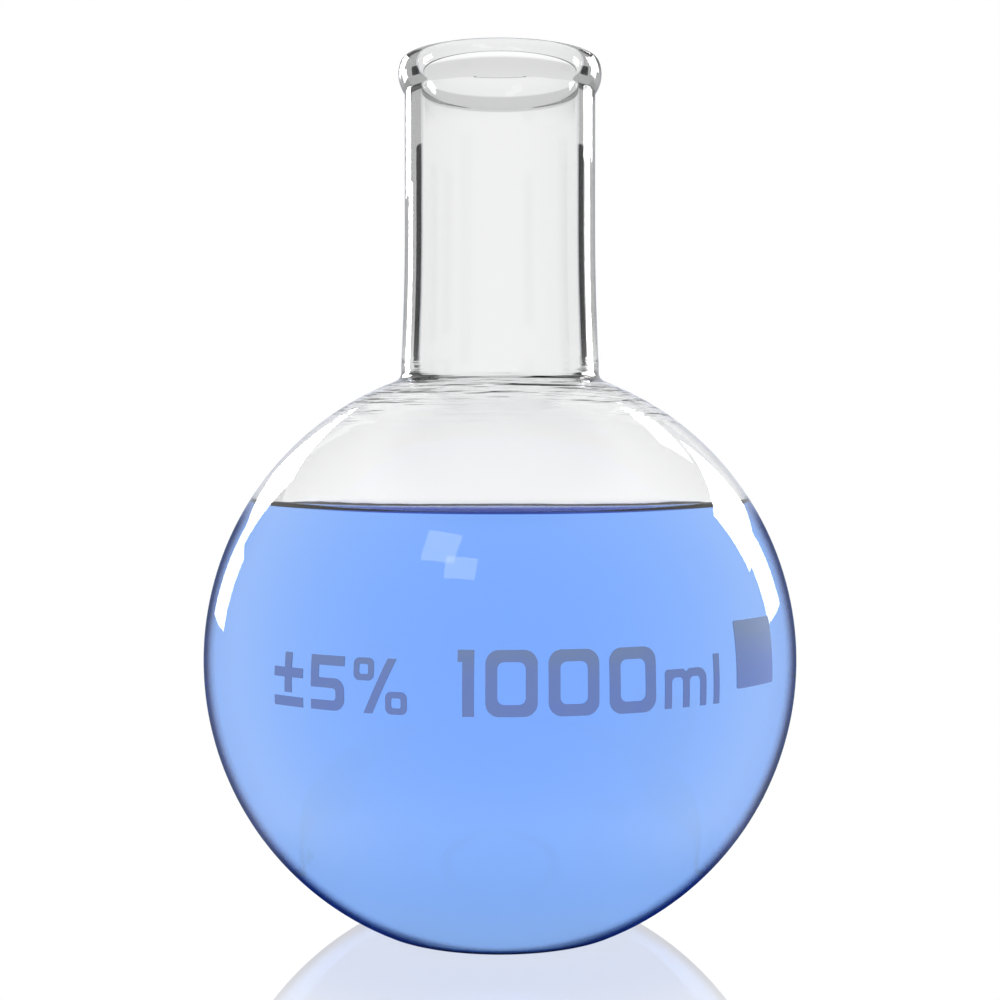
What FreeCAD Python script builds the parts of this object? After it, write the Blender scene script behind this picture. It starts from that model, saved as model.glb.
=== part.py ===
"""Flat-bottomed boiling flask, 1000 ml, part filled with a clear blue liquid.

The flask is blown in one piece from borosilicate glass. It is modelled in the regions that the
glass worker forms: the ball with its flat foot, the neck, and the beaded rim. They meet face
to face. The liquid stands inside the ball and the fired enamel marks lie on its outside.

Origin: centre of the flat foot, on the bench. +Z is up and -Y faces the reader of the marks.
Every size is in millimetres and every angle in degrees.
"""
import FreeCAD, Part
import math
import operator
import os
import Sketcher

# name, value, what it sizes
SIZES = [
    ("bulb_diameter", 131.0, "outside of the ball"),
    ("bulb_wall", 1.8, "glass thickness of the ball"),
    ("foot_diameter", 55.0, "where the ball would meet the bench"),
    ("base_thickness", 2.4, "glass under the liquid"),
    ("heel_radius", 5.0, "outside rounding from foot to ball"),
    ("floor_heel_radius", 6.0, "inside rounding from floor to ball"),
    ("shoulder_radius", 2.2, "outside hollow from ball to neck"),
    ("throat_radius", 4.0, "inside rounding from ball to bore"),
    ("joint_rise", 1.0, "straight glass above the throat rounding"),
    ("neck_length", 68.5, "from the root of the neck to the crest of the rim"),
    ("neck_diameter", 42.6, "outside of the straight neck"),
    ("neck_wall", 3.6, "glass thickness of the neck"),
    ("root_flare", 0.8, "how much the neck radius grows towards its root"),
    ("root_length", 31.0, "height over which the neck flares"),
    ("rim_depth", 9.6, "height of the rim region below its crest"),
    ("crest_radius", 1.8, "rounding over the top of the rim"),
    ("rim_inset", 0.7, "crest circle inside the outside of the neck"),
    ("mouth_depth", 7.8, "height over which the mouth opens out"),
    ("bead_radius", 6.8, "section radius of the bead"),
    ("bead_drop", 3.6, "widest level of the bead below the crest"),
    ("bead_hollow", 1.2, "hollow under the bead"),
    ("fill_height", 92.4, "liquid surface above the bench"),
    ("film_gap", 0.05, "space between liquid and glass"),
    ("enamel_thickness", 0.12, "fired enamel on the ball"),
    ("print_height", 55.4, "foot of the figures above the bench"),
    ("figure_height", 12.5, "height of the capacity figures"),
    ("figure_width", 9.8, "width of a nought"),
    ("figure_stroke", 2.25, "stroke of the capacity figures"),
    ("figure_corner", 2.6, "outside corner of a nought"),
    ("flag_width", 0.9, "flag of the one beyond its stem"),
    ("letter_gap", 2.1, "space between capacity characters"),
    ("letter_rise", 0.3, "small letters above the foot of the figures"),
    ("letter_stroke", 1.6, "stroke of the small letters"),
    ("m_width", 10.2, "width of the m"),
    ("m_height", 7.5, "height of the m"),
    ("m_corner", 2.2, "outside corner of the m"),
    ("m_notch", 0.6, "dip between the arches of the m"),
    ("l_height", 9.8, "height of the l"),
    ("patch_gap", 5.4, "space from the l to the writing patch"),
    ("patch_height", 58.0, "foot of the writing patch above the bench"),
    ("patch_width", 14.0, "width of the writing patch"),
    ("patch_rise", 13.4, "height of the writing patch itself"),
    ("patch_corner", 0.5, "corner of the writing patch"),
    ("capacity_azimuth", -7.0, "left edge of the one, from straight ahead"),
    ("tolerance_azimuth", -42.5, "left edge of the plus-minus sign"),
    ("tolerance_height", 10.5, "height of the tolerance figure"),
    ("tolerance_width", 7.8, "width of the plus-minus sign and of the five"),
    ("tolerance_stroke", 1.9, "stroke of the tolerance characters"),
    ("tolerance_corner", 2.3, "outside corner of the five"),
    ("percent_width", 11.0, "width of the percent sign"),
    ("percent_ring", 4.3, "size of each ring of the percent sign"),
    ("percent_stroke", 1.2, "stroke of those rings"),
    ("percent_slash", 1.8, "width of the slash, measured level"),
]

OPERATORS = {"+": operator.add, "-": operator.sub, "*": operator.mul, "/": operator.truediv}
LEFT, RIGHT = 1, -1     # side of the path on which the centre of an arc lies


class Size:
    """A number that also knows the sheet expression it comes from."""

    def __init__(self, value, text):
        self.value = value
        self.text = text

    def __add__(self, other):
        return joined(self, "+", other)

    def __radd__(self, other):
        return joined(other, "+", self)

    def __sub__(self, other):
        return joined(self, "-", other)

    def __rsub__(self, other):
        return joined(other, "-", self)

    def __mul__(self, other):
        return joined(self, "*", other)

    def __truediv__(self, other):
        return joined(self, "/", other)


def as_size(item):
    return item if isinstance(item, Size) else Size(float(item), repr(float(item)))


def joined(left, sign, right):
    left = as_size(left)
    right = as_size(right)
    value = OPERATORS[sign](left.value, right.value)
    return Size(value, f"({left.text} {sign} {right.text})")


def root(item):
    return Size(math.sqrt(item.value), f"sqrt({item.text})")


def cathetus(hypotenuse, other):
    """The second short side of a right-angled triangle."""
    return root(hypotenuse * hypotenuse - other * other)


class Sizes:
    """Gives each driving dimension by its name."""

    def __init__(self, table):
        for name, value, _ in table:
            setattr(self, name, Size(value, "sizes." + name))


S = Sizes(SIZES)

# Radii and levels that several pieces share.
BALL_OUT = S.bulb_diameter / 2
BALL_IN = BALL_OUT - S.bulb_wall
CENTRE = cathetus(BALL_OUT, S.foot_diameter / 2)
NECK_OUT = S.neck_diameter / 2
NECK_IN = NECK_OUT - S.neck_wall
ROOT_OUT = NECK_OUT + S.root_flare
ROOT_IN = NECK_IN + S.root_flare
THROAT_REACH = BALL_IN + S.throat_radius
THROAT_LEVEL = CENTRE + cathetus(THROAT_REACH, ROOT_IN + S.throat_radius)
ROOT_LEVEL = THROAT_LEVEL + S.joint_rise
TOP_LEVEL = ROOT_LEVEL + S.neck_length
RIM_LEVEL = TOP_LEVEL - S.rim_depth


def fill_sheet(doc):
    sheet = doc.addObject("Spreadsheet::Sheet", "sizes")
    for row, (name, value, note) in enumerate(SIZES, start=1):
        sheet.set(f"A{row}", name)
        sheet.set(f"B{row}", str(value))
        sheet.set(f"C{row}", note)
        sheet.setAlias(f"B{row}", name)
    doc.recompute()


def from_point(centre, towards, radius, reach):
    """The point at radius from centre on the way to another centre that is reach away."""
    x = centre[0] + (towards[0] - centre[0]) * radius / reach
    z = centre[1] + (towards[1] - centre[1]) * radius / reach
    return (x, z)


def vertex(point, arc=None):
    """One point of an outline, with the arc (radius, side) that leads to the next point."""
    return (as_size(point[0]), as_size(point[1]), arc)


def rounded(corners):
    """Turn square corners (x, z, radius) into an outline with an arc at each radius."""
    outline = []
    count = len(corners)
    for index, (x, z, radius) in enumerate(corners):
        here = (as_size(x), as_size(z))
        if radius is None:
            outline.append(vertex(here))
            continue
        before = corners[index - 1]
        after = corners[(index + 1) % count]
        way_in = heading(before, here)
        way_out = heading(here, after)
        turn = way_in[0] * way_out[1] - way_in[1] * way_out[0]
        side = LEFT if turn > 0 else RIGHT
        start = (here[0] - radius * way_in[0], here[1] - radius * way_in[1])
        end = (here[0] + radius * way_out[0], here[1] + radius * way_out[1])
        outline.append(vertex(start, (radius, side)))
        outline.append(vertex(end))
    return outline


def heading(start, end):
    """Unit direction of a level or upright line."""
    across = as_size(end[0]).value - as_size(start[0]).value
    up = as_size(end[1]).value - as_size(start[1]).value
    length = math.hypot(across, up)
    return (round(across / length), round(up / length))


def arc_geometry(start, end, radius, side):
    """The short arc from start to end, as a sketch arc that always runs anticlockwise."""
    middle = (start + end) / 2
    chord = end - start
    normal = FreeCAD.Vector(-chord.y, chord.x, 0).normalize()
    offset = math.sqrt(max(radius ** 2 - (chord.Length / 2) ** 2, 0.0))
    centre = middle + normal * offset * side
    first, last = (start, end) if side == LEFT else (end, start)
    angles = [math.atan2(point.y - centre.y, point.x - centre.x) for point in (first, last)]
    circle = Part.Circle(centre, FreeCAD.Vector(0, 0, 1), radius)
    return Part.ArcOfCircle(circle, angles[0], angles[1])


def bind(sketch, kind, places, item):
    """Add a dimension to the sketch and tie it to the sheet."""
    number = sketch.addConstraint(Sketcher.Constraint(kind, *places, item.value))
    sketch.setExpression(f"Constraints[{number}]", item.text)


def draw(sketch, outline):
    """Draw one closed outline, every point and radius tied to the sheet."""
    points = [FreeCAD.Vector(x.value, z.value, 0) for x, z, _ in outline]
    ends = []
    for index, (x, z, arc) in enumerate(outline):
        start = points[index]
        end = points[(index + 1) % len(points)]
        if arc is None:
            edge = sketch.addGeometry(Part.LineSegment(start, end), False)
            ends.append((edge, 1, 2))
            continue
        radius, side = arc
        edge = sketch.addGeometry(arc_geometry(start, end, radius.value, side), False)
        ends.append((edge, 1, 2) if side == LEFT else (edge, 2, 1))
    for index, (edge, first, last) in enumerate(ends):
        following, following_first, _ = ends[(index + 1) % len(ends)]
        joint = ("Coincident", edge, last, following, following_first)
        sketch.addConstraint(Sketcher.Constraint(*joint))
    for (edge, first, _), (x, z, arc) in zip(ends, outline):
        bind(sketch, "DistanceX", (-1, 1, edge, first), x)
        bind(sketch, "DistanceY", (-1, 1, edge, first), z)
        if arc is not None:
            bind(sketch, "Radius", (edge,), arc[0])


def body_with_sketch(doc, name, outlines):
    """A body with one upright sketch, seen from the front: x to the right, z up."""
    body = doc.addObject("PartDesign::Body", name)
    sketch = body.newObject("Sketcher::SketchObject", name + "_sketch")
    planes = [item for item in body.Origin.OriginFeatures if item.Role == "XZ_Plane"]
    sketch.AttachmentSupport = (planes[0], [""])
    sketch.MapMode = "FlatFace"
    for outline in outlines:
        draw(sketch, outline)
    return body, sketch


def turned(doc, name, outline):
    """A piece of glass or liquid made by turning its outline about the upright axis."""
    body, sketch = body_with_sketch(doc, name, [outline])
    turn = body.newObject("PartDesign::Revolution", name + "_turned")
    turn.Profile = sketch
    turn.ReferenceAxis = (sketch, ["V_Axis"])
    turn.Angle = 360
    sketch.Visibility = False
    return body


def bulb(doc):
    """The ball: flat foot, rounded heel, even wall, and the shoulder that turns into the neck."""
    middle = (as_size(0), CENTRE)
    heel_reach = BALL_OUT - S.heel_radius
    heel = (cathetus(heel_reach, CENTRE - S.heel_radius), S.heel_radius)
    shoulder_x = ROOT_OUT + S.shoulder_radius
    shoulder_reach = BALL_OUT + S.shoulder_radius
    shoulder = (shoulder_x, CENTRE + cathetus(shoulder_reach, shoulder_x))
    throat = (ROOT_IN + S.throat_radius, THROAT_LEVEL)
    floor_reach = BALL_IN - S.floor_heel_radius
    floor_level = S.base_thickness + S.floor_heel_radius
    floor = (cathetus(floor_reach, CENTRE - floor_level), floor_level)
    outline = [
        vertex((0, 0)),
        vertex((heel[0], 0), (S.heel_radius, LEFT)),
        vertex(from_point(middle, heel, BALL_OUT, heel_reach), (BALL_OUT, LEFT)),
        vertex(from_point(middle, shoulder, BALL_OUT, shoulder_reach), (S.shoulder_radius, RIGHT)),
        vertex((ROOT_OUT, shoulder[1])),
        vertex((ROOT_OUT, ROOT_LEVEL)),
        vertex((ROOT_IN, ROOT_LEVEL)),
        vertex((ROOT_IN, throat[1]), (S.throat_radius, LEFT)),
        vertex(from_point(middle, throat, BALL_IN, THROAT_REACH), (BALL_IN, RIGHT)),
        vertex(from_point(middle, floor, BALL_IN, floor_reach), (S.floor_heel_radius, RIGHT)),
        vertex((floor[0], S.base_thickness)),
        vertex((0, S.base_thickness)),
    ]
    return turned(doc, "bulb", outline)


def neck(doc):
    """The neck: a straight tube that opens slightly towards its root."""
    straight = ROOT_LEVEL + S.root_length
    sweep = (S.root_length * S.root_length + S.root_flare * S.root_flare) / (S.root_flare * 2)
    outline = [
        vertex((ROOT_IN, ROOT_LEVEL), (sweep, RIGHT)),
        vertex((NECK_IN, straight)),
        vertex((NECK_IN, RIM_LEVEL)),
        vertex((NECK_OUT, RIM_LEVEL)),
        vertex((NECK_OUT, straight), (sweep, LEFT)),
        vertex((ROOT_OUT, ROOT_LEVEL)),
    ]
    return turned(doc, "neck", outline)


def rim_bead(doc):
    """The rim: an opened mouth, a fire-rounded crest and a bead round the outside."""
    crest = (NECK_OUT - S.rim_inset, TOP_LEVEL - S.crest_radius)
    mouth_level = TOP_LEVEL - S.mouth_depth
    across = crest[0] - NECK_IN
    up = crest[1] - mouth_level
    mouth_square = across * across + up * up - S.crest_radius * S.crest_radius
    mouth_radius = mouth_square / ((across - S.crest_radius) * 2)
    mouth = (NECK_IN + mouth_radius, mouth_level)
    bead_level = TOP_LEVEL - S.bead_drop
    bead_reach = S.bead_radius - S.crest_radius
    bead = (crest[0] - cathetus(bead_reach, crest[1] - bead_level), bead_level)
    hollow_reach = S.bead_radius + S.bead_hollow
    hollow_x = NECK_OUT + S.bead_hollow
    hollow = (hollow_x, bead_level - cathetus(hollow_reach, hollow_x - bead[0]))
    mouth_end = from_point(mouth, crest, mouth_radius, mouth_radius - S.crest_radius)
    bead_start = from_point(bead, crest, S.bead_radius, bead_reach)
    bead_end = from_point(bead, hollow, S.bead_radius, hollow_reach)
    outline = [
        vertex((NECK_IN, RIM_LEVEL)),
        vertex((NECK_IN, mouth_level), (mouth_radius, RIGHT)),
        vertex(mouth_end, (S.crest_radius, RIGHT)),
        vertex(bead_start, (S.bead_radius, RIGHT)),
        vertex(bead_end, (S.bead_hollow, LEFT)),
        vertex((NECK_OUT, hollow[1])),
        vertex((NECK_OUT, RIM_LEVEL)),
    ]
    return turned(doc, "rim_bead", outline)


def liquid(doc):
    """The filling: it follows the inside of the ball up to a level surface."""
    middle = (as_size(0), CENTRE)
    ball = BALL_IN - S.film_gap
    heel_radius = S.floor_heel_radius - S.film_gap
    floor_level = S.base_thickness + S.film_gap
    heel_level = floor_level + heel_radius
    heel = (cathetus(ball - heel_radius, CENTRE - heel_level), heel_level)
    edge = cathetus(ball, S.fill_height - CENTRE)
    outline = [
        vertex((0, floor_level)),
        vertex((heel[0], floor_level), (heel_radius, LEFT)),
        vertex(from_point(middle, heel, ball, ball - heel_radius), (ball, LEFT)),
        vertex((edge, S.fill_height)),
        vertex((0, S.fill_height)),
    ]
    return turned(doc, "liquid", outline)


def box_corners(left, foot, width, height, radius=None):
    right = left + width
    top = foot + height
    return [(left, foot, radius), (right, foot, radius), (right, top, radius), (left, top, radius)]


def figure_one():
    """A stem with a short square flag at its top left."""
    foot = S.print_height
    top = foot + S.figure_height
    right = S.flag_width + S.figure_stroke
    flag = top - S.figure_stroke
    corners = [
        (S.flag_width, foot, None), (right, foot, None), (right, top, None),
        (0, top, None), (0, flag, None), (S.flag_width, flag, None),
    ]
    return [rounded(corners)]


def figure_zero():
    """A nought with straight sides and round corners."""
    stroke = S.figure_stroke
    inner_width = S.figure_width - stroke * 2
    inner_height = S.figure_height - stroke * 2
    inner_corner = S.figure_corner / 2
    outer = box_corners(as_size(0), S.print_height, S.figure_width, S.figure_height,
                        S.figure_corner)
    inner = box_corners(stroke, S.print_height + stroke, inner_width, inner_height, inner_corner)
    return [rounded(outer), rounded(inner)]


def letter_m():
    """Three legs under two arches with a dip between them."""
    foot = S.print_height + S.letter_rise
    top = foot + S.m_height
    stroke = S.letter_stroke
    arch = top - stroke
    gap = (S.m_width - stroke * 3) / 2
    inner = gap / 3
    legs = [as_size(0), stroke + gap, (stroke + gap) * 2]
    middle = legs[1] + stroke / 2
    corners = [(legs[0], foot, None)]
    for left, right in ((legs[0], legs[1]), (legs[1], legs[2])):
        corners.append((left + stroke, foot, None))
        corners.append((left + stroke, arch, inner))
        corners.append((right, arch, inner))
        corners.append((right, foot, None))
    corners.append((S.m_width, foot, None))
    corners.append((S.m_width, top, S.m_corner))
    corners.append((middle + stroke / 2, top, None))
    corners.append((middle, top - S.m_notch, None))
    corners.append((middle - stroke / 2, top, None))
    corners.append((legs[0], top, stroke / 2))
    return [rounded(corners)]


def letter_l():
    foot = S.print_height + S.letter_rise
    return [rounded(box_corners(as_size(0), foot, S.letter_stroke, S.l_height))]


def writing_patch():
    """A plain matt block to write on."""
    block = box_corners(as_size(0), S.patch_height, S.patch_width, S.patch_rise, S.patch_corner)
    return [rounded(block)]


def plus_minus():
    foot = S.print_height
    width = S.tolerance_width
    stroke = S.tolerance_stroke
    top = foot + S.tolerance_height
    middle = top - width / 2
    low = middle - stroke / 2
    high = middle + stroke / 2
    left = (width - stroke) / 2
    right = (width + stroke) / 2
    bottom = top - width
    cross = [
        (left, bottom, None), (right, bottom, None), (right, low, None), (width, low, None),
        (width, high, None), (right, high, None), (right, top, None), (left, top, None),
        (left, high, None), (0, high, None), (0, low, None), (left, low, None),
    ]
    bar = box_corners(as_size(0), foot, width, stroke)
    return [rounded(cross), rounded(bar)]


def figure_five():
    foot = S.print_height
    width = S.tolerance_width
    stroke = S.tolerance_stroke
    top = foot + S.tolerance_height
    waist = foot + (S.tolerance_height + stroke) / 2
    outer = S.tolerance_corner
    inner = outer / 3
    corners = [
        (0, foot, None), (width, foot, outer), (width, waist, outer), (stroke, waist, None),
        (stroke, top - stroke, None), (width, top - stroke, None), (width, top, None),
        (0, top, None), (0, waist - stroke, None), (width - stroke, waist - stroke, inner),
        (width - stroke, foot + stroke, inner), (0, foot + stroke, None),
    ]
    return [rounded(corners)]


def percent():
    foot = S.print_height
    top = foot + S.tolerance_height
    ring = S.percent_ring
    stroke = S.percent_stroke
    outlines = []
    for left, bottom in ((as_size(0), top - ring), (S.percent_width - ring, foot)):
        outlines.append(rounded(box_corners(left, bottom, ring, ring, stroke)))
        inner = ring - stroke * 2
        hole = box_corners(left + stroke, bottom + stroke, inner, inner, stroke / 3)
        outlines.append(rounded(hole))
    start = ring / 2
    end = S.percent_width - start
    slash = [
        (start, foot, None), (start + S.percent_slash, foot, None),
        (end, top, None), (end - S.percent_slash, top, None),
    ]
    outlines.append(rounded(slash))
    return outlines


def ball_solid(doc, name, radius):
    ball = doc.addObject("Part::Sphere", name)
    ball.setExpression("Radius", radius.text)
    ball.setExpression("Placement.Base.z", CENTRE.text)
    return ball


def enamel_skin(doc):
    """The thin layer round the ball out of which every mark is cut."""
    skin = doc.addObject("Part::Cut", "enamel_skin")
    skin.Base = ball_solid(doc, "skin_outside", BALL_OUT + S.enamel_thickness)
    skin.Tool = ball_solid(doc, "skin_inside", BALL_OUT)
    return skin


def mark(doc, name, outlines, azimuth, skin):
    """A fired enamel mark: its flat outline carried out to the skin and turned to its place."""
    body, sketch = body_with_sketch(doc, name + "_outline", outlines)
    body.AllowCompound = True
    pad = body.newObject("PartDesign::Pad", name + "_pad")
    pad.Profile = sketch
    pad.setExpression("Length", (BALL_OUT + S.enamel_thickness * 2).text)
    upright = FreeCAD.Rotation(FreeCAD.Vector(0, 0, 1), 1)
    body.Placement = FreeCAD.Placement(FreeCAD.Vector(0, 0, 0), upright)
    body.setExpression("Placement.Rotation.Angle", azimuth.text)
    enamel = doc.addObject("Part::Common", name)
    enamel.Base = body
    enamel.Tool = skin
    return enamel


def along(start, distance):
    """The azimuth that lies a distance round the ball from a starting azimuth."""
    return start + distance / BALL_OUT * math.degrees(1)


def marks(doc):
    """The capacity, the writing patch and the tolerance, each character on its own."""
    skin = enamel_skin(doc)
    pieces = []
    one_end = S.flag_width + S.figure_stroke + S.letter_gap
    pitch = S.figure_width + S.letter_gap
    capacity = S.capacity_azimuth
    pieces.append(mark(doc, "enamel_one", figure_one(), capacity, skin))
    for index in range(3):
        azimuth = along(capacity, one_end + pitch * index)
        pieces.append(mark(doc, f"enamel_nought_{index + 1}", figure_zero(), azimuth, skin))
    m_start = one_end + pitch * 3
    l_start = m_start + S.m_width + S.letter_gap
    patch_start = l_start + S.letter_stroke + S.patch_gap
    pieces.append(mark(doc, "enamel_m", letter_m(), along(capacity, m_start), skin))
    pieces.append(mark(doc, "enamel_l", letter_l(), along(capacity, l_start), skin))
    pieces.append(mark(doc, "writing_patch", writing_patch(), along(capacity, patch_start), skin))
    tolerance = S.tolerance_azimuth
    step = S.tolerance_width + S.letter_gap
    pieces.append(mark(doc, "enamel_plus_minus", plus_minus(), tolerance, skin))
    pieces.append(mark(doc, "enamel_five", figure_five(), along(tolerance, step), skin))
    pieces.append(mark(doc, "enamel_percent", percent(), along(tolerance, step * 2), skin))
    return pieces


def check(doc, pieces):
    """Stop if any object failed to compute or any piece is not a sound solid."""
    for item in doc.Objects:
        if "Invalid" in item.State or "Error" in item.State:
            raise RuntimeError(f"{item.Name} did not compute: {item.State}")
    for piece in pieces:
        if piece.Shape.isNull() or not piece.Shape.isValid() or not piece.Shape.Solids:
            raise RuntimeError(f"{piece.Label} is not a sound solid")


def export(pieces):
    os.makedirs("parts", exist_ok=True)
    for piece in pieces:
        piece.Shape.exportStep(f"parts/{piece.Label}.step")
        box = piece.Shape.optimalBoundingBox(True, False)
        print(f"{piece.Label:18s} {piece.Shape.Volume:12.2f} mm3  "
              f"z {box.ZMin:7.2f} to {box.ZMax:7.2f}  solids {len(piece.Shape.Solids)}")


def main():
    doc = FreeCAD.newDocument("flask")
    fill_sheet(doc)
    pieces = [bulb(doc), neck(doc), rim_bead(doc), liquid(doc)] + marks(doc)
    doc.recompute()
    check(doc, pieces)
    export(pieces)


main()
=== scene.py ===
"""A flat-bottomed boiling flask of 1000 ml, part filled with a blue liquid.

A Blender add-on for the 3D view's sidebar. It makes the seamless blown glass, the liquid with
its meniscus, the fired enamel of the marks and the stage round them. Lengths are metres: Z is up
along the flask's axis, and -Y faces the reader of the capacity mark.
"""

import math

import bpy
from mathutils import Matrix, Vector


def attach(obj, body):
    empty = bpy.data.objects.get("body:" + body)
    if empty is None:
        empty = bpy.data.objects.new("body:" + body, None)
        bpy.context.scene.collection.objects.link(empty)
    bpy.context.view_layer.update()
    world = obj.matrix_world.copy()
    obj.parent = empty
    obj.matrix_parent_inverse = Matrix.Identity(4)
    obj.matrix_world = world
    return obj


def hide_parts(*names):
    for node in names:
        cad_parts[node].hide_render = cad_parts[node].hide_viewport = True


bl_info = {
    "name": "Boiling flask",
    "version": (1, 0, 0),
    "blender": (4, 5, 0),
    "location": "View3D > Sidebar > Flask",
    "description": "Builds a flat-bottomed boiling flask with its liquid, marks and stage",
    "category": "Add Mesh",
}

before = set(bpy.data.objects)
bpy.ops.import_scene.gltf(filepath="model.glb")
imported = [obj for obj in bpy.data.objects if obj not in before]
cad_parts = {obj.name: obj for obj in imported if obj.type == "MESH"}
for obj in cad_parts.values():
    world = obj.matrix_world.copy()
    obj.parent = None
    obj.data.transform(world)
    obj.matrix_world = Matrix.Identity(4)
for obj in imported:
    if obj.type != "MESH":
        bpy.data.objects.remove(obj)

GLASS_NODES = ("bulb", "neck", "rim_bead")

# Facets of a turn and degrees of an arc: no facet of the ball stands off it by more than 9 microns.
SEGMENTS = 200
ARC_STEP = 1.8
NECK_STEPS = 16
MENISCUS_STEPS = 24
# Points nearer to the axis than this lie on it, and points nearer to each other are one point.
ON_AXIS = 1e-9
ONE_POINT = 1e-6
# The liquid stands this far off the glass, so that their faces never lie in one surface.
LIQUID_GAP = 0.00002

WHITE = (1.0, 1.0, 1.0, 1.0)
GLASS_IOR = 1.473
WATER_IOR = 1.333
# Inside the liquid's wall is water and outside it is glass.
WALL_IOR = WATER_IOR / GLASS_IOR
# Brightness of the white surround where glass and enamel meet it. The background itself is 1.
SURROUND = 1.2

SMOOTH = {"interpolation_type": "SMOOTHSTEP"}
TIMES = {"operation": "MULTIPLY"}
LESS = {"operation": "SUBTRACT"}
COLOURS = {"data_type": "RGBA"}

CARD_DISTANCE = 0.3
# Where the black cards stand, in degrees round the flask from +Y.
BLACK_CARDS = (-53, 53, 90, -135)
LAMP_DISTANCE = 1.5
LAMP_AIM = 0.06
# Name, turn from +Y, lift, width and height in degrees, and brightness.
SOFTBOXES = (
    ("softbox_left_high", -34, 20, 22, 16, 14.0),
    ("softbox_left_low", -44, 6, 15, 13, 14.0),
    ("softbox_right_top", 35, 35, 13, 9, 7.0),
    ("softbox_right_high", 47, 21, 28, 15, 14.0),
    ("softbox_right_low", 50, 8, 16, 12, 14.0),
    ("window_pane_1", -152, 44, 12, 11, 3.0),
    ("window_pane_2", -163, 37, 11, 8, 3.0),
)
TABLE_RADIUS = 0.3
TABLE_FACETS = 96


# ---------------------------------------------------------------- small helpers


def linear(code, alpha=1.0):
    """An sRGB hex colour as linear RGBA."""
    values = [int(code[i : i + 2], 16) / 255 for i in (1, 3, 5)]
    return tuple(v / 12.92 if v <= 0.04045 else ((v + 0.055) / 1.055) ** 2.4 for v in values) + (alpha,)


def node(tree, kind, values=None, links=None, **settings):
    """Adds a node with its settings, its plain socket values, and its links from nodes or sockets."""
    made = tree.nodes.new(kind)
    for name, value in settings.items():
        setattr(made, name, value)
    for name, value in (values or {}).items():
        made.inputs[name].default_value = value
    for name, source in (links or {}).items():
        socket = source.outputs[0] if isinstance(source, bpy.types.Node) else source
        tree.links.new(socket, made.inputs[name])
    return made


def between(low, high, at_low=0.0, at_high=1.0):
    """The values of a Map Range that goes from at_low to at_high while its input goes from low to high."""
    return {"From Min": low, "From Max": high, "To Min": at_low, "To Max": at_high}


def empty_material(name):
    """A new material whose node tree is empty."""
    made = bpy.data.materials.new(name)
    made.use_nodes = True
    made.node_tree.nodes.clear()
    return made


def arc(centre, radius, start, end):
    """Points on an arc in the (radius, height) plane, both ends included, angles in degrees."""
    count = max(3, math.ceil(abs(end - start) / ARC_STEP))
    angles = [math.radians(start + (end - start) * i / count) for i in range(count + 1)]
    return [(centre[0] + radius * math.cos(a), centre[1] + radius * math.sin(a)) for a in angles]


def bearing(centre, point):
    """The direction from centre to point, in degrees."""
    return math.degrees(math.atan2(point[1] - centre[1], point[0] - centre[0]))


def merged(points, least=ONE_POINT):
    """The outline without points that repeat the one before."""
    kept = [points[0]]
    for point in points[1:]:
        if math.dist(point, kept[-1]) > least:
            kept.append(point)
    return kept


def revolved(name, outline, sharp=()):
    """A closed mesh of an outline that starts and ends on the axis, turned about it.

    sharp lists the outline points whose ring is a crease.
    """
    points, rings = [], []
    for r, z in outline:
        rings.append(len(points))
        if r < ON_AXIS:
            points.append((0.0, 0.0, z))
            continue
        for j in range(SEGMENTS):
            a = 2 * math.pi * j / SEGMENTS
            points.append((r * math.cos(a), r * math.sin(a), z))
    faces = []
    for i in range(len(outline) - 1):
        low, high = rings[i], rings[i + 1]
        for j in range(SEGMENTS):
            k = (j + 1) % SEGMENTS
            if outline[i][0] < ON_AXIS:
                faces.append((low, high + k, high + j))
            elif outline[i + 1][0] < ON_AXIS:
                faces.append((low + j, low + k, high))
            else:
                faces.append((low + j, low + k, high + k, high + j))
    mesh = bpy.data.meshes.new(name)
    mesh.from_pydata(points, [], faces)
    mesh.polygons.foreach_set("use_smooth", [True] * len(faces))
    creased = {rings[i] + j for i in sharp for j in range(SEGMENTS)}
    for edge in mesh.edges:
        edge.use_edge_sharp = edge.vertices[0] in creased and edge.vertices[1] in creased
    mesh.update()
    made = bpy.data.objects.new(name, mesh)
    bpy.context.scene.collection.objects.link(made)
    return made


def mark_bands(turned, name, values):
    """Gives each band of faces of a revolved mesh its own value, for a material to read."""
    every = [value for value in values for _ in range(SEGMENTS)]
    turned.data.attributes.new(name, "FLOAT", "FACE").data.foreach_set("value", every)


# ---------------------------------------------------------------- settings


def length(name, text, value):
    """A length property, in metres."""
    return bpy.props.FloatProperty(
        name=name,
        description=text,
        default=value,
        min=0.0,
        precision=5,
        subtype="DISTANCE",
        unit="LENGTH",
    )


def colour(name, text, code):
    """A colour property from an sRGB hex code."""
    return bpy.props.FloatVectorProperty(
        name=name,
        description=text,
        default=linear(code)[:3],
        min=0.0,
        max=1.0,
        size=3,
        subtype="COLOR",
    )


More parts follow.
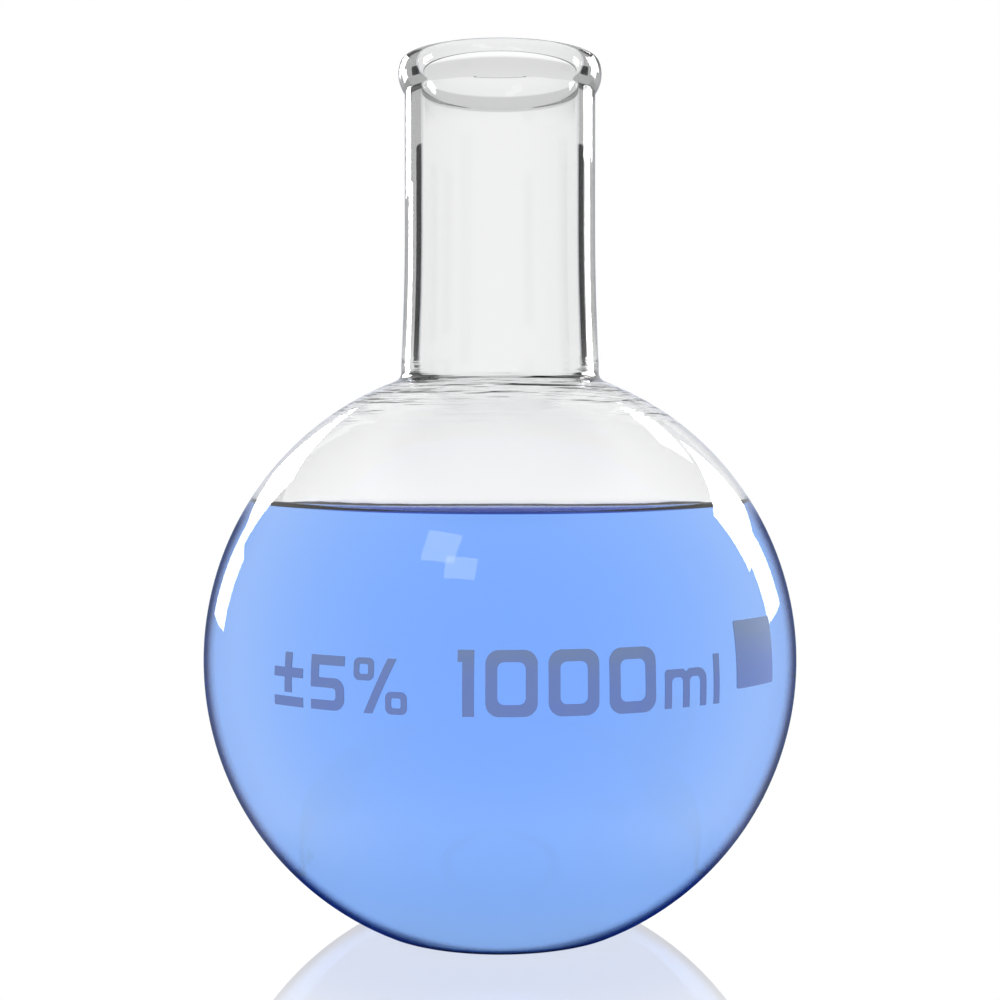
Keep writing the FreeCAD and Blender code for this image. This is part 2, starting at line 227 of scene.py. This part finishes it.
class FlaskSizes(bpy.types.PropertyGroup):
    """Sizes of the glass and of the liquid in it."""

    ball: length("Ball radius", "Outside radius of the ball", 0.0655)
    wall: length("Ball wall", "Thickness of the ball's wall", 0.0018)
    foot: length("Foot radius", "Radius where the ball's sphere would cut the foot plane", 0.0275)
    heel: length("Heel radius", "Rounding between foot and ball, outside", 0.005)
    floor: length("Floor thickness", "Thickness of the glass over the foot", 0.0024)
    floor_heel: length("Floor rounding", "Rounding between floor and ball, inside", 0.006)
    neck: length("Neck radius", "Outside radius of the upper half of the neck", 0.0213)
    neck_wall: length("Neck wall", "Thickness of the neck's wall", 0.0036)
    flare: length("Neck flare", "How much wider the neck is at its root", 0.0008)
    shoulder: length("Shoulder rounding", "Hollow between ball and neck, outside", 0.0022)
    throat: length("Throat rounding", "Rounding between ball and neck, inside", 0.004)
    root: length("Neck root", "Height where the neck begins", 0.1243)
    straight: length("Straight neck", "Height where the neck becomes straight", 0.1553)
    bead: length("Bead radius", "Radius of the rim bead's outside", 0.0068)
    bead_out: length("Rim radius", "Greatest radius of the rim", 0.022735)
    bead_level: length("Bead height", "Height of the widest place of the rim", 0.1892)
    crest: length("Crest rounding", "Rounding of the top of the rim", 0.0018)
    top: length("Height", "Height of the flask", 0.1928)
    under_bead: length("Rounding under the bead", "Hollow between neck and bead", 0.0012)
    mouth: length("Mouth level", "Height where the mouth starts to widen", 0.185)
    level: length("Liquid level", "Height of the liquid's flat surface", 0.0920)
    rise: length("Meniscus rise", "How far the liquid climbs up the glass", 0.0019)


class FlaskColours(bpy.types.PropertyGroup):
    """Colours of the glass, the liquid, the marks and the stage."""

    glass: colour("Glass", "Colour that a thick layer of the glass lets through", "#B5B8B6")
    liquid: colour("Liquid", "Colour that a thick layer of the liquid lets through", "#4EBAFE")
    # Painted shade and light: these blue-greys paint white enamel lit from behind by the liquid, its shade
    # and the blue light through it. The pale one shows at random and towards the top of the marks.
    enamel: colour("Enamel", "Fired enamel of the marks", "#5C72B1")
    enamel_pale: colour("Thin enamel", "Fired enamel where it is thinner", "#687A9C")
    # Painted glint: the tint of the liquid's surface where it is seen edge-on.
    glint: colour("Liquid surface", "Colour of what glances off the liquid's surface", "#B4C0E6")
    # Painted shade: the dark line drawn into what passes where the glass is seen edge-on.
    outline: colour("Glass outline", "What glass seen almost edge-on lets through", "#22366A")
    # Painted reflection: the blue that tints what glances off the glass's edge over the liquid.
    limb: colour("Glass limb", "What glances off the glass over the liquid, seen edge-on", "#93A9D2")
    # Painted shadow and painted blue light on the table under the ball.
    pool: colour("Blue pool", "Light of the liquid on the table under the ball", "#3A5CAE")
    surround: colour("Surround", "Colour of the surroundings", "#FFFFFF")


# ---------------------------------------------------------------- outlines


def glass_outline(s):
    """The glass, from the middle of the foot up the outside, over the rim and down the inside."""
    centre = (0.0, math.sqrt(s.ball**2 - s.foot**2))
    inside = s.ball - s.wall
    heel = (math.sqrt((s.ball - s.heel) ** 2 - (centre[1] - s.heel) ** 2), s.heel)
    floor_z = s.floor + s.floor_heel
    floor_heel = (math.sqrt((inside - s.floor_heel) ** 2 - (centre[1] - floor_z) ** 2), floor_z)
    root_out, bore = s.neck + s.flare, s.neck - s.neck_wall
    root_in = bore + s.flare
    hollow_r = root_out + s.shoulder
    hollow = (hollow_r, centre[1] + math.sqrt((s.ball + s.shoulder) ** 2 - hollow_r**2))
    throat_r = root_in + s.throat
    throat = (throat_r, centre[1] + math.sqrt((inside + s.throat) ** 2 - throat_r**2))
    bead = (s.bead_out - s.bead, s.bead_level)
    under_r = s.neck + s.under_bead
    under = (under_r, bead[1] - math.sqrt((s.bead + s.under_bead) ** 2 - (under_r - bead[0]) ** 2))
    crest_z = s.top - s.crest
    crest = (bead[0] + math.sqrt((s.bead - s.crest) ** 2 - (crest_z - bead[1]) ** 2), crest_z)
    # The mouth's flare is an arc that touches the bore and the crest.
    across, up = crest[0] - bore, crest_z - s.mouth
    flare = (across**2 + up**2 - s.crest**2) / (2 * (across - s.crest))
    mouth = (bore + flare, s.mouth)
    # The neck's walls run out to its root on large arcs, upright where the neck is straight.
    rise = s.straight - s.root
    sweep = (rise**2 + s.flare**2) / (2 * s.flare)
    turn = math.degrees(math.asin(rise / sweep))

    points = [(0.0, 0.0)]
    points += arc(heel, s.heel, -90, bearing(centre, heel))
    points += arc(centre, s.ball, bearing(centre, heel), bearing(centre, hollow))
    points += arc(hollow, s.shoulder, bearing(centre, hollow) + 180, 180)
    points += neck_arc(s.neck + sweep, sweep, s.straight, turn)
    points += arc(under, s.under_bead, 180, bearing(under, bead))
    points += arc(bead, s.bead, bearing(bead, under), bearing(bead, crest))
    points += arc(crest, s.crest, bearing(bead, crest), bearing(mouth, crest))
    points += arc(mouth, flare, bearing(mouth, crest), 180)
    points += list(reversed(neck_arc(bore + sweep, sweep, s.straight, turn)))
    points += arc(throat, s.throat, 180, bearing(throat, centre) + 360)
    points += arc(centre, inside, bearing(centre, throat), bearing(centre, floor_heel))
    points += arc(floor_heel, s.floor_heel, bearing(centre, floor_heel), -90)
    points += [(0.0, s.floor)]
    return merged(points)


def neck_arc(x, radius, straight, turn):
    """The neck's wall from its flared root up to where it is straight."""
    angles = [math.radians(180 + turn * (1 - i / NECK_STEPS)) for i in range(NECK_STEPS + 1)]
    return [(x + radius * math.cos(a), straight + radius * math.sin(a)) for a in angles]


def contact(s):
    """Where the top edge of the liquid meets the glass, as (radius, height)."""
    centre = math.sqrt(s.ball**2 - s.foot**2)
    height = s.level + s.rise
    return math.sqrt((s.ball - s.wall) ** 2 - (height - centre) ** 2), height


def with_contact(outline, point):
    """The glass outline with a point where the liquid's edge meets the inside wall, and its index."""
    widest = max(range(len(outline)), key=lambda i: outline[i][1])
    for i in range(widest, len(outline) - 1):
        if outline[i][1] > point[1] >= outline[i + 1][1]:
            return outline[: i + 1] + [point] + outline[i + 1 :], i + 1
    raise RuntimeError("the liquid's edge lies outside the ball")


# ---------------------------------------------------------------- materials


def blown_glass(colours):
    """Clear borosilicate glass, blown, tooled and fire-polished.

    A hand-finished ball is a little wavy, and tooling leaves finer rings where the neck meets the
    ball, so what is seen through it wavers there. Seen nearly edge-on the glass shows a thin dark
    line of painted shade, with the liquid's blue clear right up to it. Painted shade also cuts its
    reflection beside that line and on the neck, and a painted blue tints that reflection at the
    edge over the liquid.
    """
    made = empty_material("Borosilicate glass, blown and fire-polished")
    tree = made.node_tree
    place = node(tree, "ShaderNodeTexCoord").outputs["Object"]
    height = node(tree, "ShaderNodeSeparateXYZ", links={"Vector": place}).outputs["Z"]
    facing = node(tree, "ShaderNodeLayerWeight", {"Blend": 0.5}).outputs["Facing"]

    # Waves are 160 to the metre, 6.3 mm each. Rings are 900 to the metre, 1.1 mm each, and one
    # runs on for 22 mm before it fades.
    waves = node(tree, "ShaderNodeTexNoise", {"Scale": 160.0, "Detail": 1.0}, {"Vector": place})
    pressed = node(tree, "ShaderNodeVectorMath", {1: (45.0, 45.0, 900.0)}, {0: place}, **TIMES)
    rings = node(tree, "ShaderNodeTexNoise", {"Scale": 1.0, "Detail": 2.0}, {"Vector": pressed})
    above = node(tree, "ShaderNodeMapRange", between(0.108, 0.118), {"Value": height}, **SMOOTH)
    below = node(tree, "ShaderNodeMapRange", between(0.1235, 0.126, 1.0, 0.0), {"Value": height}, **SMOOTH)
    tooled = node(tree, "ShaderNodeMath", links={0: above, 1: below}, **TIMES)
    tooled = node(tree, "ShaderNodeMath", links={0: rings, 1: tooled}, **TIMES)
    tooled = node(tree, "ShaderNodeMath", {1: 1.8}, {0: tooled}, **TIMES)
    gentle = node(tree, "ShaderNodeMath", {1: 0.04}, {0: waves}, **TIMES)
    relief = node(tree, "ShaderNodeMath", links={0: gentle, 1: tooled}, operation="ADD")
    bump = node(tree, "ShaderNodeBump", {"Strength": 0.4, "Distance": 0.0004}, {"Height": relief})
    bent = {"Normal": bump}

    # What passes through: painted shade, dark where the glass is seen edge-on, less so over the empty part.
    filled = node(tree, "ShaderNodeMapRange", between(0.088, 0.098, 1.0, 0.3), {"Value": height}, **SMOOTH)
    line = node(tree, "ShaderNodeMapRange", between(0.71, 0.88), {"Value": facing}, **SMOOTH)
    line = node(tree, "ShaderNodeMath", links={0: line, 1: filled}, **TIMES)
    painted_edge_tint = node(tree, "ShaderNodeMix", {6: WHITE, 7: (*colours.outline, 1.0)}, {0: line}, **COLOURS)
    passing = node(
        tree,
        "ShaderNodeBsdfRefraction",
        {"Roughness": 0.0, "IOR": GLASS_IOR},
        {"Color": painted_edge_tint.outputs[2], **bent},
    )

    # What glances off: Fresnel's law, with painted shade that cuts it back beside the dark line and on the
    # neck.
    painted_reflection_cut = node(tree, "ShaderNodeMapRange", between(0.42, 0.74, 0.0, 0.72), {"Value": facing}, **SMOOTH)
    painted_reflection_cut = node(tree, "ShaderNodeMath", links={0: painted_reflection_cut, 1: filled}, **TIMES)
    inside = node(tree, "ShaderNodeNewGeometry").outputs["Backfacing"]
    outside = node(tree, "ShaderNodeMath", {0: 1.0}, {1: inside}, **LESS)
    painted_reflection_cut = node(tree, "ShaderNodeMath", links={0: painted_reflection_cut, 1: outside}, **TIMES)
    kept = node(tree, "ShaderNodeMath", {0: 1.0}, {1: painted_reflection_cut}, **LESS)
    on_neck = node(tree, "ShaderNodeMapRange", between(0.120, 0.135, 1.0, 0.55), {"Value": height}, **SMOOTH)
    kept = node(tree, "ShaderNodeMath", links={0: kept, 1: on_neck}, **TIMES)
    fresnel = node(tree, "ShaderNodeFresnel", {"IOR": GLASS_IOR}, bent)
    share = node(tree, "ShaderNodeMath", links={0: fresnel, 1: kept}, **TIMES)
    # Painted reflection: seen edge-on over the liquid, what glances off the glass is tinted blue.
    limb = node(tree, "ShaderNodeMapRange", between(0.76, 0.92), {"Value": facing}, **SMOOTH)
    limb = node(tree, "ShaderNodeMath", links={0: limb, 1: filled}, **TIMES)
    painted_limb_tint = node(tree, "ShaderNodeMix", {6: WHITE, 7: (*colours.limb, 1.0)}, {0: limb}, **COLOURS)
    glancing = node(tree, "ShaderNodeBsdfGlossy", {"Roughness": 0.0}, {"Color": painted_limb_tint.outputs[2], **bent})
    clear = node(tree, "ShaderNodeMixShader", links={0: share, 1: passing, 2: glancing})

    # The wetted part of the inside wall adds no step of its own: the liquid's wall makes the one
    # step from water to glass there.
    wet = node(tree, "ShaderNodeAttribute", attribute_name="wet").outputs["Fac"]
    through = node(tree, "ShaderNodeBsdfTransparent", {"Color": WHITE})
    surface = node(tree, "ShaderNodeMixShader", links={0: wet, 1: clear, 2: through})
    # The wall dims what passes, so that the thick neck is greyer than the thin ball.
    dim = node(tree, "ShaderNodeVolumeAbsorption", {"Color": (*colours.glass, 1.0), "Density": 82.0})
    node(tree, "ShaderNodeOutputMaterial", links={"Surface": surface, "Volume": dim})
    return made


def dyed_water(colours):
    """Water with a clear blue dye: its free surface meets air, its wall meets glass."""
    made = empty_material("Water with blue dye")
    tree = made.node_tree
    facing = node(tree, "ShaderNodeLayerWeight", {"Blend": 0.5}).outputs["Facing"]
    # Painted glint: where the free surface is seen edge-on, what glances off and passes through it is tinted.
    painted_glint = node(tree, "ShaderNodeMapRange", between(0.85, 0.97), {"Value": facing}, **SMOOTH)
    tone = node(tree, "ShaderNodeMix", {6: WHITE, 7: (*colours.glint, 1.0)}, {0: painted_glint}, **COLOURS)
    to_air = node(
        tree, "ShaderNodeBsdfGlass", {"Roughness": 0.0, "IOR": WATER_IOR}, {"Color": tone.outputs[2]}
    )
    to_glass = node(tree, "ShaderNodeBsdfGlass", {"Roughness": 0.0, "IOR": WALL_IOR})
    wall = node(tree, "ShaderNodeAttribute", attribute_name="wall").outputs["Fac"]
    surface = node(tree, "ShaderNodeMixShader", links={0: wall, 1: to_air, 2: to_glass})
    # At this density 127 mm of the liquid, the width of the ball, is a clear mid blue.
    dye = node(tree, "ShaderNodeVolumeAbsorption", {"Color": (*colours.liquid, 1.0), "Density": 15.0})
    node(tree, "ShaderNodeOutputMaterial", links={"Surface": surface, "Volume": dye})
    return made


def fired_enamel(colours):
    """Enamel, screen-printed and fired: matt, with a slightly uneven cover and a fine grain. Its
    blue-grey is painted shade and painted blue light of white enamel lit from behind through the
    liquid, paler towards the top of the marks.

    The cover changes over 4.5 mm, 220 to the metre. The grain of a real one is finer than 0.05 mm
    and wouldn't show, so it is drawn at 0.2 mm, 5000 to the metre.
    """
    made = empty_material("Fired enamel, screen-printed")
    tree = made.node_tree
    place = node(tree, "ShaderNodeTexCoord").outputs["Object"]
    height = node(tree, "ShaderNodeSeparateXYZ", links={"Vector": place}).outputs["Z"]
    cover = node(tree, "ShaderNodeTexNoise", {"Scale": 220.0, "Detail": 3.0}, {"Vector": place})
    uneven = node(tree, "ShaderNodeMath", {1: 0.5}, {0: cover}, **TIMES)
    # The painted blue-grey turns paler towards the top of the marks.
    upper = node(tree, "ShaderNodeMapRange", between(0.060, 0.074), {"Value": height}, **SMOOTH)
    thin = node(tree, "ShaderNodeMath", links={0: uneven, 1: upper}, operation="ADD")
    tone = node(
        tree,
        "ShaderNodeMix",
        {6: (*colours.enamel, 1.0), 7: (*colours.enamel_pale, 1.0)},
        {0: thin},
        clamp_factor=True,
        **COLOURS,
    )
    grain = node(tree, "ShaderNodeTexNoise", {"Scale": 5000.0, "Detail": 2.0}, {"Vector": place})
    bump = node(tree, "ShaderNodeBump", {"Strength": 0.3, "Distance": 0.00002}, {"Height": grain})
    surface = node(
        tree,
        "ShaderNodeBsdfPrincipled",
        {"Roughness": 0.7, "Specular IOR Level": 0.2},
        {"Base Color": tone.outputs[2], "Normal": bump},
    )
    node(tree, "ShaderNodeOutputMaterial", links={"Surface": surface})
    return made


def glazed_table(colours):
    """A white glazed table top: pure white, with the flask's faint mirror image near its foot.

    Through the glass it shows a painted shadow under the ball, tinted with painted blue light from the
    liquid.
    """
    made = empty_material("White glazed table top")
    tree = made.node_tree
    seen = node(tree, "ShaderNodeLightPath").outputs["Is Camera Ray"]
    place = node(tree, "ShaderNodeTexCoord").outputs["Object"]
    flat = node(tree, "ShaderNodeVectorMath", {1: (1.0, 1.0, 0.0)}, {0: place}, **TIMES)
    away = node(tree, "ShaderNodeVectorMath", links={0: flat}, operation="LENGTH").outputs["Value"]
    # Painted shadow under the ball, tinted blue, seen by all but camera rays.
    edge = node(tree, "ShaderNodeMapRange", between(0.045, 0.085), {"Value": away}, **SMOOTH)
    painted_shadow_pool = node(
        tree,
        "ShaderNodeMix",
        {6: (*colours.pool, 1.0), 7: (SURROUND, SURROUND, SURROUND, 1.0)},
        {0: edge},
        clamp_result=False,
        **COLOURS,
    )
    shown = node(tree, "ShaderNodeMix", {7: WHITE}, {0: seen, 6: painted_shadow_pool.outputs[2]}, **COLOURS)
    white = node(tree, "ShaderNodeEmission", {"Strength": 1.0}, {"Color": shown.outputs[2]})
    glaze = node(tree, "ShaderNodeBsdfGlossy", {"Color": WHITE, "Roughness": 0.03})
    share = node(tree, "ShaderNodeMapRange", between(0.045, 0.125, 0.38, 0.0), {"Value": away}, **SMOOTH)
    share = node(tree, "ShaderNodeMath", links={0: share, 1: seen}, **TIMES)
    surface = node(tree, "ShaderNodeMixShader", links={0: share, 1: white, 2: glaze})
    node(tree, "ShaderNodeOutputMaterial", links={"Surface": surface})
    return made


def card(colours, level, fade=None):
    """A matt card beside the flask: black to draw the glass's edges, or grey to tone the rim.

    fade is the height range in which the card's lower edge comes out of the white surround.
    """
    made = empty_material("Matt card")
    tree = made.node_tree
    glow = node(tree, "ShaderNodeEmission", {"Color": (*colours.surround, 1.0), "Strength": level})
    if fade:
        place = node(tree, "ShaderNodeTexCoord").outputs["Object"]
        height = node(tree, "ShaderNodeSeparateXYZ", links={"Vector": place}).outputs["Z"]
        soft = node(tree, "ShaderNodeMapRange", between(*fade, SURROUND, level), {"Value": height}, **SMOOTH)
        tree.links.new(soft.outputs["Result"], glow.inputs["Strength"])
    node(tree, "ShaderNodeOutputMaterial", links={"Surface": glow})
    return made


def surroundings(colours):
    """White all round, with a grey ceiling that draws the lower edge of the ball."""
    world = bpy.data.worlds.new("White surround")
    world.use_nodes = True
    tree = world.node_tree
    tree.nodes.clear()
    place = node(tree, "ShaderNodeTexCoord").outputs["Generated"]
    up = node(tree, "ShaderNodeSeparateXYZ", links={"Vector": place}).outputs["Z"]
    ceiling = between(math.sin(math.radians(50)), math.sin(math.radians(70)), SURROUND, 0.45)
    light = node(tree, "ShaderNodeMapRange", ceiling, {"Value": up}, **SMOOTH)
    seen = node(tree, "ShaderNodeLightPath").outputs["Is Camera Ray"]
    strength = node(tree, "ShaderNodeMix", {3: 1.0}, {0: seen, 2: light}, data_type="FLOAT")
    back = node(tree, "ShaderNodeBackground", {"Color": (*colours.surround, 1.0)}, {"Strength": strength})
    node(tree, "ShaderNodeOutputWorld", links={"Surface": back})
    return world


# ---------------------------------------------------------------- operators


class FLASK_OT_glass(bpy.types.Operator):
    """Blow the ball, neck and rim as one seamless piece of glass"""

    bl_idname = "flask.glass"
    bl_label = "Glass"

    def execute(self, context):
        sizes, colours = context.scene.flask_sizes, context.scene.flask_colours
        outline, edge = with_contact(glass_outline(sizes), contact(sizes))
        glass = revolved("glass", outline)
        mark_bands(glass, "wet", [float(i >= edge) for i in range(len(outline) - 1)])
        glass.data.materials.append(blown_glass(colours))
        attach(glass, "root")
        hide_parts(*GLASS_NODES)
        return {"FINISHED"}


class FLASK_OT_liquid(bpy.types.Operator):
    """Fill the ball with the blue liquid, which climbs a little at the glass"""

    bl_idname = "flask.liquid"
    bl_label = "Liquid"

    def execute(self, context):
        sizes, colours = context.scene.flask_sizes, context.scene.flask_colours
        edge = contact(sizes)
        outline, start = with_contact(glass_outline(sizes), edge)
        wall = []
        for r, z in reversed(outline[start:]):
            over_floor = LIQUID_GAP if z < sizes.floor_heel else 0.0
            wall.append((max(0.0, r - LIQUID_GAP), z + over_floor))
        # The meniscus is an arc that meets the glass 80 degrees steep.
        steep = math.radians(80)
        radius = sizes.rise / (1 - math.cos(steep))
        start_r = edge[0] - radius * math.sin(steep)
        slopes = [steep * (1 - i / MENISCUS_STEPS) for i in range(1, MENISCUS_STEPS + 1)]
        surface = [(start_r + radius * math.sin(t), sizes.level + radius * (1 - math.cos(t))) for t in slopes]
        surface.append((0.0, sizes.level))
        top = len(wall) - 1
        liquid = revolved("liquid_body", wall + surface, sharp=(top,))
        mark_bands(liquid, "wall", [float(i < top) for i in range(len(wall + surface) - 1)])
        liquid.data.materials.append(dyed_water(colours))
        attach(liquid, "root")
        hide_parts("liquid")
        return {"FINISHED"}


class FLASK_OT_enamel(bpy.types.Operator):
    """Fire the enamel of the capacity, the tolerance and the writing patch"""

    bl_idname = "flask.enamel"
    bl_label = "Enamel marks"

    def execute(self, context):
        enamel = fired_enamel(context.scene.flask_colours)
        for name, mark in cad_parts.items():
            if name in GLASS_NODES or name == "liquid":
                continue
            mark.data.materials.clear()
            mark.data.materials.append(enamel)
        return {"FINISHED"}


def softbox(scene, name, turn, lift, wide, high, level):
    """A soft lamp that shows in reflections only: turn, lift, wide and high in degrees."""
    lamp = bpy.data.lights.new(name, "AREA")
    lamp.shape = "RECTANGLE"
    lamp.size = 2 * LAMP_DISTANCE * math.tan(math.radians(wide) / 2)
    lamp.size_y = 2 * LAMP_DISTANCE * math.tan(math.radians(high) / 2)
    lamp.energy = level * math.pi * lamp.size * lamp.size_y
    made = bpy.data.objects.new(name, lamp)
    a, e = math.radians(turn), math.radians(lift)
    way = Vector((math.sin(a) * math.cos(e), math.cos(a) * math.cos(e), math.sin(e)))
    made.location = Vector((0.0, 0.0, LAMP_AIM)) + way * LAMP_DISTANCE
    made.rotation_euler = way.to_track_quat("Z", "Y").to_euler()
    made.visible_camera = False
    made.visible_transmission = False
    scene.collection.objects.link(made)


def upright_card(scene, name, turn, wide, low, high, material):
    """An upright card that only light through the glass meets: turn in degrees, the rest in metres."""
    a = math.radians(turn)
    middle = Vector((math.sin(a), math.cos(a), 0.0)) * CARD_DISTANCE
    side = Vector((math.cos(a), -math.sin(a), 0.0)) * wide / 2
    corners = [middle - side, middle + side, middle + side, middle - side]
    heights = (low, low, high, high)
    mesh = bpy.data.meshes.new(name)
    mesh.from_pydata([(c.x, c.y, z) for c, z in zip(corners, heights)], [], [(0, 1, 2, 3)])
    mesh.materials.append(material)
    made = bpy.data.objects.new(name, mesh)
    made.visible_camera = False
    made.visible_diffuse = False
    made.visible_glossy = False
    made.visible_shadow = False
    scene.collection.objects.link(made)


class FLASK_OT_stage(bpy.types.Operator):
    """Set up the white surround, the table top, the cards, the lamps and the camera"""

    bl_idname = "flask.stage"
    bl_label = "Stage"

    def execute(self, context):
        scene, colours = context.scene, context.scene.flask_colours
        scene.world = surroundings(colours)
        scene.view_settings.view_transform = "Standard"

        mesh = bpy.data.meshes.new("table_top")
        turns = (2 * math.pi * i / TABLE_FACETS for i in range(TABLE_FACETS))
        ring = [(TABLE_RADIUS * math.cos(a), TABLE_RADIUS * math.sin(a), 0.0) for a in turns]
        mesh.from_pydata(ring, [], [tuple(range(TABLE_FACETS))])
        mesh.materials.append(glazed_table(colours))
        table = bpy.data.objects.new("table_top", mesh)
        table.location.z = -0.0001
        scene.collection.objects.link(table)

        black = card(colours, 0.03)
        for turn in BLACK_CARDS:
            upright_card(scene, f"black_card_{turn % 360}", turn, 0.085, 0.136, 0.222, black)
        grey = card(colours, 0.85, (0.234, 0.254))
        upright_card(scene, "grey_card", 0, 0.34, 0.234, 0.460, grey)
        for box in SOFTBOXES:
            softbox(scene, *box)

        camera = bpy.data.cameras.new("camera")
        camera.sensor_width = 36.0
        camera.lens = 63.144
        camera.shift_y = -0.05
        camera.clip_start = 0.01
        camera.dof.use_dof = False
        eye = bpy.data.objects.new("camera", camera)
        eye.location = (0.0, -0.393, 0.1053)
        eye.rotation_euler = (math.radians(90), 0.0, 0.0)
        scene.collection.objects.link(eye)
        scene.camera = eye
        return {"FINISHED"}


class FLASK_PT_build(bpy.types.Panel):
    """Buttons that build the flask, and its settings"""

    bl_idname = "FLASK_PT_build"
    bl_label = "Boiling flask"
    bl_space_type = "VIEW_3D"
    bl_region_type = "UI"
    bl_category = "Flask"

    def draw(self, context):
        column = self.layout.column(align=True)
        for step in STEPS:
            column.operator(step.bl_idname)
        for group in (context.scene.flask_sizes, context.scene.flask_colours):
            column.separator()
            for name in group.__annotations__:
                column.prop(group, name)


STEPS = (FLASK_OT_glass, FLASK_OT_liquid, FLASK_OT_enamel, FLASK_OT_stage)
CLASSES = (FlaskSizes, FlaskColours, *STEPS, FLASK_PT_build)


def register():
    for kind in CLASSES:
        bpy.utils.register_class(kind)
    bpy.types.Scene.flask_sizes = bpy.props.PointerProperty(type=FlaskSizes)
    bpy.types.Scene.flask_colours = bpy.props.PointerProperty(type=FlaskColours)


def unregister():
    del bpy.types.Scene.flask_colours
    del bpy.types.Scene.flask_sizes
    for kind in reversed(CLASSES):
        bpy.utils.unregister_class(kind)


def main():
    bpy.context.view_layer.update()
    register()
    bpy.ops.flask.glass()
    bpy.ops.flask.liquid()
    bpy.ops.flask.enamel()
    bpy.ops.flask.stage()


if __name__ == "__main__":
    main()
